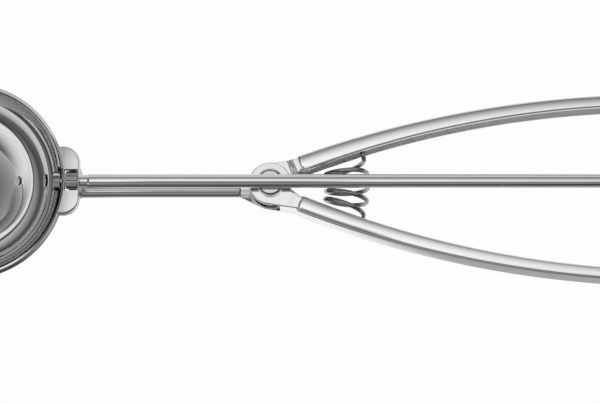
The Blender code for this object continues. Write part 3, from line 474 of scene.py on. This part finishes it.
settle(turned("pivot_rivet_fine", profile, "Z", lathe_turned), "frame", "rivet_steel", "pivot_rivet")
washer = collar(WASHER_LOW, WASHER_HIGH, PIVOT_BORE, WASHER_RADIUS, back=0.1, fall=0.1)
washer = turned("pivot_washer_fine", washer, "Z", lathe_turned, (0, 0, HANDLE_Z), ring=True)
settle(washer, "frame", "rivet_steel", "pivot_washer")
sleeve = [(-SLEEVE_HALF, PIVOT_BORE), (-SLEEVE_HALF, SLEEVE_RADIUS), (SLEEVE_HALF, SLEEVE_RADIUS),
          (SLEEVE_HALF, PIVOT_BORE)]
sleeve = turned("pivot_sleeve_fine", sleeve, "Z", lathe_turned, (0, 0, HANDLE_Z), ring=True)
settle(sleeve, "frame", "rivet_steel", "pivot_spacer")

# Handles, each pressed from stainless sheet into a channel that is open towards the rod, with crowned
# flanges. At the pivot the flanges are folded in to flat ears, joined by a stretch of the web.
# Both are barrel polished, and the lower one mirrors the upper one.
ARC_RADIUS, SLOPE, START_X, START_OUT = 302.0, math.radians(21.23), 8.13, 5.6
HANDLE_LENGTH = 117.5
RUN = ARC_RADIUS * (SLOPE + math.asin((HANDLE_LENGTH - START_X) / ARC_RADIUS - math.sin(SLOPE)))
PAIR_TURN = math.radians(-0.63)
# The channel's section: half its thickness at both ends, the crown, and the rounding of the edges.
WIDTH, SHEET, START_HALF, END_HALF, CROWN, EDGE = 11.3, 0.9, 2.45, 1.8, 6.0, 0.8
MOUTH_ROUND, MOUTH_IN, MOUTH_OUT = 0.15, 0.05, 0.04
# Its ends are rounded over these lengths, down to these shares, and the far end is closed.
SHOULDER, SHOULDER_WIDE, SHOULDER_THICK = 1.4, 0.8, 0.65
TIP, TIP_WIDE, ROLL, ROLL_THICK = 6.0, 0.45, 1.8, 0.6
CLOSED, CLOSING, LEAST_DEPTH = 1.0, 2.5, 0.01
# The ears: their discs, the fold that leads out to the channel, their roots in it, and the lug.
EAR_RADIUS, NECK_ANGLE, FOLD_START, FOLD_LENGTH, ROOT_DEPTH = 6.2, 14.0, 6.6, 2.3, 0.35
NECK_IN, NECK_HALF, ROOT_IN, ROOT_HALF = 0.3, 1.8, 5.0, 1.3
LOWER_FACE, UPPER_FACE = 5.05, 3.85
LUG_X, LUG_LOW, LUG_HIGH = -9.0, -1.5, 2.7
FOLD_STEPS = 12
# The stretch of web between the ears: its gap to the other handle's, how far it goes into the
# channel, and how far it stays below its own ears' edges and faces.
WALL_GAP, WALL_PAST, WALL_INSET, WALL_BELOW = 0.3, 1.2, 0.02, 0.2
# Barrel polishing leaves a soft gloss with faint ripples about 2 mm long.
barrel_polished = steel("barrel_polished_stainless", ("E2E2E2", "EAEAEA"), (0.07, 0.12), 0.0015,
                        (2.0, 2.0, 2.0), "ShaderNodeTexNoise", Scale=1.0, Detail=3.0)
# The inside of the channel keeps the matt grey of the rolled sheet, with marks 5 mm long.
rolled_sheet = steel("matt_rolled_stainless", ("E2E2E2", "F0F0F0"), (0.6, 0.7), 0.002,
                     (5.0, 0.6667, 0.6667), "ShaderNodeTexNoise", Scale=1.0, Detail=2.0)


def on_handle(distance, out):
    """A spot out from the handle's middle line, distance past its start."""
    angle = distance / ARC_RADIUS - SLOPE
    x = START_X + ARC_RADIUS * (math.sin(SLOPE) + math.sin(angle)) + out * math.sin(angle)
    return x, START_OUT + ARC_RADIUS * (math.cos(angle) - math.cos(SLOPE)) + out * math.cos(angle)


def rounding(distance, length):
    """How full a rounded end is at a distance from its tip, from 0 to 1."""
    share = min(max(distance / length, 0.0), 1.0)
    return math.sqrt(1 - (1 - share) ** 2)


def channel_ring(distance):
    """A closed C of points: crowned flanges with rounded edges, a flat web, and the inside."""
    left = RUN - distance
    shoulder, tip, roll = rounding(distance, SHOULDER), rounding(left, TIP), rounding(left, ROLL)
    half_thick = END_HALF + (START_HALF - END_HALF) * (left / RUN) ** 2
    half_thick *= SHOULDER_THICK + (1 - SHOULDER_THICK) * shoulder
    half_thick *= ROLL_THICK + (1 - ROLL_THICK) * roll
    half_width = WIDTH / 2 * (SHOULDER_WIDE + (1 - SHOULDER_WIDE) * shoulder)
    half_width *= TIP_WIDE + (1 - TIP_WIDE) * tip
    base = half_width - CROWN
    tilt = math.degrees(math.asin((half_thick - EDGE) / (CROWN - EDGE)))
    edge_z = base + (CROWN - EDGE) * math.cos(math.radians(tilt))
    depth = min(max((left - CLOSED) / CLOSING, LEAST_DEPTH), 1.0)
    web = -half_thick + (2 * half_thick - SHEET) * depth
    top = arc((half_thick - EDGE, edge_z), EDGE, 0, 90 - tilt, 8)
    top += arc((0, base), CROWN, 90 - tilt, 90 + tilt, 12)[1:-1]
    top += arc((EDGE - half_thick, edge_z), EDGE, 90 + tilt, 180, 8)
    outs = [-half_thick + (web + half_thick) * k / 8 for k in range(9)]
    under = [(out, base + math.sqrt((CROWN - SHEET) ** 2 - out ** 2)) for out in outs]
    mouth_z = under[0][1]
    top += [(-half_thick, mouth_z + MOUTH_ROUND), (MOUTH_IN - half_thick, mouth_z + MOUTH_OUT)] + under[1:]
    return [(*on_handle(distance, out), z) for out, z in top + [(out, -z) for out, z in reversed(top)]]


def handle_piece(name, shape, mirrored):
    """Turns a shape in the upper handle's own frame to its handle."""
    bmesh.ops.scale(shape, vec=(1.0, -1.0 if mirrored else 1.0, 1.0), verts=shape.verts)
    bmesh.ops.rotate(shape, cent=(0, 0, 0), matrix=Matrix.Rotation(PAIR_TURN, 3, "Z"), verts=shape.verts)
    return piece_from(name, shape, barrel_polished, (0, 0, HANDLE_Z))


def tangent(spot, side):
    """Where a line from the spot touches the ear's disc, in degrees from 0 to 360."""
    turn = math.atan2(spot[1], spot[0]) + side * math.acos(EAR_RADIUS / math.hypot(*spot))
    return math.degrees(turn % math.tau)


def folded(outline, low, high, lift):
    """A plate from low to high, whose part past the fold lies lift further out from mid width."""
    shape = loft([[(x, y, z) for x, y in outline] for z in (low, high)])
    slope = Vector((math.cos(SLOPE), math.sin(SLOPE), 0.0))
    for k in range(FOLD_STEPS + 1):
        cut = slope * (FOLD_START + FOLD_LENGTH * k / FOLD_STEPS)
        bmesh.ops.bisect_plane(shape, geom=shape.verts[:] + shape.edges[:] + shape.faces[:], dist=0.001,
                               plane_co=cut, plane_no=slope)
    for corner in shape.verts:
        share = min(max((corner.co.dot(slope) - FOLD_START) / FOLD_LENGTH, 0.0), 1.0)
        corner.co.z += math.copysign(lift * share * share * (3 - 2 * share), corner.co.z)
    return shape


def ear_outline(lug):
    """An ear's disc and its root in the channel, with the lug for the lever rod where it has one."""
    neck = on_handle(NECK_IN, NECK_HALF)
    start = tangent(neck, 1)
    rim = []
    if lug:
        rim = arc((0, 0), EAR_RADIUS, start, tangent((LUG_X, LUG_HIGH), -1), 24)
        rim += [(LUG_X, LUG_HIGH), (LUG_X, LUG_LOW)]
        start = tangent((LUG_X, LUG_LOW), 1)
    rim += arc((0, 0), EAR_RADIUS, start, 360 + NECK_ANGLE, 60)
    return rim + [on_handle(NECK_IN, -NECK_HALF), on_handle(ROOT_IN, -ROOT_HALF),
                  on_handle(ROOT_IN, ROOT_HALF), neck]


def wall_outline():
    """The web goes on along the ears' outer edge, until it nears the other handle's discs."""
    neck = Vector(on_handle(NECK_IN, NECK_HALF))
    turn = math.radians(tangent(neck, 1))
    radial = Vector((math.cos(turn), math.sin(turn)))
    touch = radial * EAR_RADIUS
    way = (neck - touch).normalized()
    near = math.sqrt((EAR_RADIUS + WALL_GAP) ** 2 - (EAR_RADIUS - SHEET) ** 2)
    far = (neck - touch).length + WALL_PAST
    corners = ((near, WALL_INSET), (far, WALL_INSET), (far, SHEET), (near, SHEET))
    return [touch + way * run - radial * inset for run, inset in corners]


STEPS = 60
bends = [1 - math.cos(math.radians(9 * k)) for k in range(11)]
stops = [SHOULDER * bend for bend in bends]
stops += [SHOULDER + (RUN - SHOULDER - TIP) * k / STEPS for k in range(1, STEPS)]
stops += [stop for stop in (RUN - TIP * bend for bend in reversed(bends)) if stop < RUN - ROLL]
stops += [RUN - ROLL * bend for bend in reversed(bends)]
# The inside of the channel lies between these points of its ring, one at each edge of its mouth.
around = len(channel_ring(0.0))
INSIDE_START = 30
INSIDE_END = around - INSIDE_START - 1
for body, ear_face, mirrored in (("upper_handle", UPPER_FACE, False), ("lower_handle", LOWER_FACE, True)):
    lift = WIDTH / 2 - ROOT_DEPTH - ear_face
    shape = loft([channel_ring(stop) for stop in stops])
    for k, face in enumerate(shape.faces):
        face.material_index = INSIDE_START <= k % around < INSIDE_END
    channel = handle_piece(body + "_channel", shape, mirrored)
    channel.data.materials.append(rolled_sheet)
    settle(channel, body, "handle_steel", body)
    for side, low, high in (("top", ear_face - SHEET, ear_face), ("back", -ear_face, SHEET - ear_face)):
        outline = ear_outline(lug=mirrored and side == "back")
        ear = handle_piece(f"{body}_{side}_ear", folded(outline, low, high, lift), mirrored)
        settle(soften(ear, width=0.3), body, "handle_steel", body)
    wall = folded(wall_outline(), WALL_BELOW - ear_face, ear_face - WALL_BELOW, lift)
    wall = handle_piece(body + "_wall", wall, mirrored)
    settle(soften(wall, width=0.1), body, "handle_steel", body)

# Lever rod, the same bright rod with its ends rounded off, welded to the lower handle's lug and to
# the toothed sector. It closes the gaps that the solids leave at these two welds.
WELD_GAP, END_ROUND = 0.3, 0.3
lever_low, lever_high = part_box("lever_rod")
LEVER_Y = (lever_low.y + lever_high.y) / 2 / MM
LEVER_Z = ((lever_low.z + lever_high.z) / 2 - rod_height) / MM
LEVER_START, LEVER_END = lever_low.x / MM - WELD_GAP, lever_high.x / MM + WELD_GAP
profile = [(LEVER_START, 0), (LEVER_START, ROD_RADIUS - END_ROUND),
           (LEVER_START + 0.1, ROD_RADIUS - 0.12), (LEVER_START + END_ROUND, ROD_RADIUS),
           (LEVER_END - END_ROUND, ROD_RADIUS), (LEVER_END - 0.1, ROD_RADIUS - 0.1),
           (LEVER_END, ROD_RADIUS - END_ROUND), (LEVER_END, 0)]
lever = turned("lever_rod_fine", profile, "X", drawn, (0, LEVER_Y, LEVER_Z))
settle(lever, "lower_handle", "rod_steel", "lever_rod")

# Toothed sector, pinion and spindle, cut from stainless bar.
# They keep the shapes of the solids, with their edges a little rounded.
# The cutter leaves lines across them, drawn 0.15 mm wide so that they show.
milled = steel("milled_stainless", ("BDBDBD", "D2D2D2"), (0.2, 0.3), 0.0008, (0.1515, 5.0, 5.0),
               "ShaderNodeTexNoise", Scale=1.0, Detail=2.0)
for node, body, place in (("rack", "lower_handle", "sector"), ("pinion", "scraper", "pinion"),
                          ("scraper_spindle", "scraper", "spindle")):
    shape = bmesh.new()
    shape.from_mesh(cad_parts[node].data)
    bmesh.ops.remove_doubles(shape, verts=shape.verts, dist=0.001 * MM)
    bmesh.ops.scale(shape, vec=(1 / MM, 1 / MM, 1 / MM), verts=shape.verts)
    fine = piece_from(place + "_fine", shape, milled, (0, 0, -rod_height / MM), sharp=25.0)
    settle(soften(fine, width=0.06), body, "gear_steel", node)

# Collars and far pin, turned from stainless bar; they hold the scraper's blade at both sides of the
# bowl. The pin has a domed head and is riveted through the bowl's far wall.
COLLAR_BORE = 1.25
NEAR_LOW, NEAR_HIGH, NEAR_RADIUS = 25.25, 27.25, 2.83
FAR_LOW, FAR_HIGH, FAR_RADIUS = -27.25, -25.65, 2.3
PIN_RADIUS, PIN_TIP, PIN_FLAT, PIN_RIM = 0.95, -29.7, 1.3, 2.1
DOME_RIM, DOME_RISE, DOME_REACH, PIN_SEAT = -29.1, 0.6, 0.8, -28.8
near_collar = collar(NEAR_LOW, NEAR_HIGH, COLLAR_BORE, NEAR_RADIUS, back=0.15, fall=0.13)
near_collar = turned("near_collar_fine", near_collar, "X", lathe_turned, (BOWL_X, 0, 0), ring=True)
settle(near_collar, "scraper", "blade_steel", "scraper_hub")
far_collar = collar(FAR_LOW, FAR_HIGH, COLLAR_BORE, FAR_RADIUS, back=0.1, fall=0.1)
far_collar = turned("far_collar_fine", far_collar, "X", lathe_turned, (BOWL_X, 0, 0), ring=True)
settle(far_collar, "scraper", "blade_steel", "scraper_far_hub")
profile = [(PIN_TIP, 0), (PIN_TIP, PIN_FLAT)]
for degrees in range(15, 91, 15):
    turn = math.radians(degrees)
    profile.append((DOME_RIM - DOME_RISE * math.cos(turn), PIN_FLAT + DOME_REACH * math.sin(turn)))
profile += [(PIN_SEAT, PIN_RIM), (PIN_SEAT, PIN_RADIUS), (FAR_HIGH, PIN_RADIUS), (FAR_HIGH, 0)]
far_pin = turned("far_pin_fine", profile, "X", lathe_turned, (BOWL_X, 0, 0))
settle(far_pin, "scraper", "rivet_steel", "scraper_far_pin")

# Scraper blade, a thin curved strip of spring-hard stainless that follows the bowl from collar to
# collar. It is widest in its middle and stays just clear of the bowl.
BLADE_OUTER, BLADE_INNER = BOWL_INNER - 0.12, BOWL_INNER - 0.6
BLADE_WIDTH, BLADE_END_WIDTH = 9.5, 5.6
NEAR_START, FAR_START = 3.13, 2.6
BLADE_STEPS, BLADE_SIDES = 120, 8
# It is brushed across its width, with lines that are drawn 0.3 mm wide so that they show.
fine_brushed = steel("fine_brushed_strip", ("E2E2E2", "F4F4F4"), (0.32, 0.42), 0.0006, (0.303, 2.5, 2.5),
                     "ShaderNodeTexNoise", Scale=1.0, Detail=2.0)
blade_start = math.asin(NEAR_START / BLADE_INNER)
blade_end = math.pi - math.asin(FAR_START / BLADE_INNER)
blade_lean = math.asin(BLADE_WIDTH / 2 / BLADE_OUTER)
rings = []
for k in range(BLADE_STEPS + 1):
    angle = blade_start + (blade_end - blade_start) * k / BLADE_STEPS
    width = BLADE_END_WIDTH + (BLADE_WIDTH - BLADE_END_WIDTH) * math.sqrt(math.sin(angle))
    sides = [width * (j / BLADE_SIDES - 0.5) for j in range(BLADE_SIDES + 1)]
    section = [(BLADE_OUTER, side) for side in sides] + [(BLADE_INNER, side) for side in reversed(sides)]
    ring = []
    for radius, side in section:
        reach = math.sqrt(radius ** 2 - side ** 2)
        out = reach * math.sin(angle)
        ring.append((reach * math.cos(angle), out * math.cos(blade_lean) + side * math.sin(blade_lean),
                     side * math.cos(blade_lean) - out * math.sin(blade_lean)))
    rings.append(ring)
blade = piece_from("scraper_blade_fine", loft(rings), fine_brushed, (BOWL_X, 0, 0))
settle(blade, "scraper", "blade_steel", "scraper_blade")

# Return spring, one coil of bright stainless wire bent round the pivot, with its ends hooked in the
# channels. It is made here in two halves, both fixed to the frame.
COIL_REACH, COIL_RADIUS, WIRE_RADIUS, COIL_TURNS = 22.6, 6.1, 0.7, 4
TURN_STEPS = 40
HALF_SPREAD, TAIL_BEND, TAIL_RUN = math.radians(16.68), 1.6, 3.39
SPRING_Z = -9.2
# The wire is darker than the sheet, with faint marks about 0.6 mm long.
wire_steel = steel("bright_spring_wire", ("888888", "9C9C9C"), (0.12, 0.18), 0.0004, (0.6, 0.6, 0.6),
                   "ShaderNodeTexNoise", Scale=1.0, Detail=2.0)
tails = []
for side in (1, -1):
    way = Vector((-math.sin(HALF_SPREAD), side * math.cos(HALF_SPREAD), 0.0))
    outer = COIL_REACH + COIL_RADIUS
    coil_end = Vector((outer * math.cos(HALF_SPREAD), side * outer * math.sin(HALF_SPREAD), 0.0))
    corner = coil_end + way * TAIL_BEND
    bend = []
    for rise, run in arc((0, 0), 1, 0, 90, 10):
        bend.append(corner + Vector((0.0, 0.0, side * rise)) * TAIL_BEND - way * TAIL_BEND * run)
    tails.append([bend[0] + way * TAIL_RUN] + bend[:-1])
coil = []
for k in range(COIL_TURNS * TURN_STEPS + 1):
    turn = HALF_SPREAD * (1 - 2 * k / (COIL_TURNS * TURN_STEPS))
    curl = math.tau * k / TURN_STEPS
    reach = COIL_REACH + COIL_RADIUS * math.cos(curl)
    coil.append(Vector((reach * math.cos(turn), reach * math.sin(turn), -COIL_RADIUS * math.sin(curl))))
route = tails[0] + coil + tails[1][::-1]
middle = len(route) // 2
for body, stretch in (("upper_handle", route[:middle + 2]), ("lower_handle", route[middle - 1:])):
    line = bpy.data.curves.new(body + "_spring", "CURVE")
    line.dimensions = "3D"
    line.bevel_depth = WIRE_RADIUS * MM
    line.bevel_resolution = 4
    line.use_fill_caps = True
    spline = line.splines.new("POLY")
    spline.points.add(len(stretch) - 1)
    for point, spot in zip(spline.points, stretch):
        point.co = (*(Matrix.Rotation(PAIR_TURN, 3, "Z") @ spot * MM), 1.0)
    wire = bpy.data.objects.new(body + "_wire", line)
    bpy.context.scene.collection.objects.link(wire)
    mesh = bpy.data.meshes.new_from_object(wire.evaluated_get(bpy.context.evaluated_depsgraph_get()))
    bpy.data.objects.remove(wire, do_unlink=True)
    for face in mesh.polygons:
        face.use_smooth = True
    mesh.materials.clear()
    mesh.materials.append(wire_steel)
    half = bpy.data.objects.new(f"return_spring_{body}_half", mesh)
    half.location.z = rod_height + SPRING_Z * MM
    bpy.context.scene.collection.objects.link(half)
    settle(half, "frame", "spring_steel", "return_spring")
    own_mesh(half)
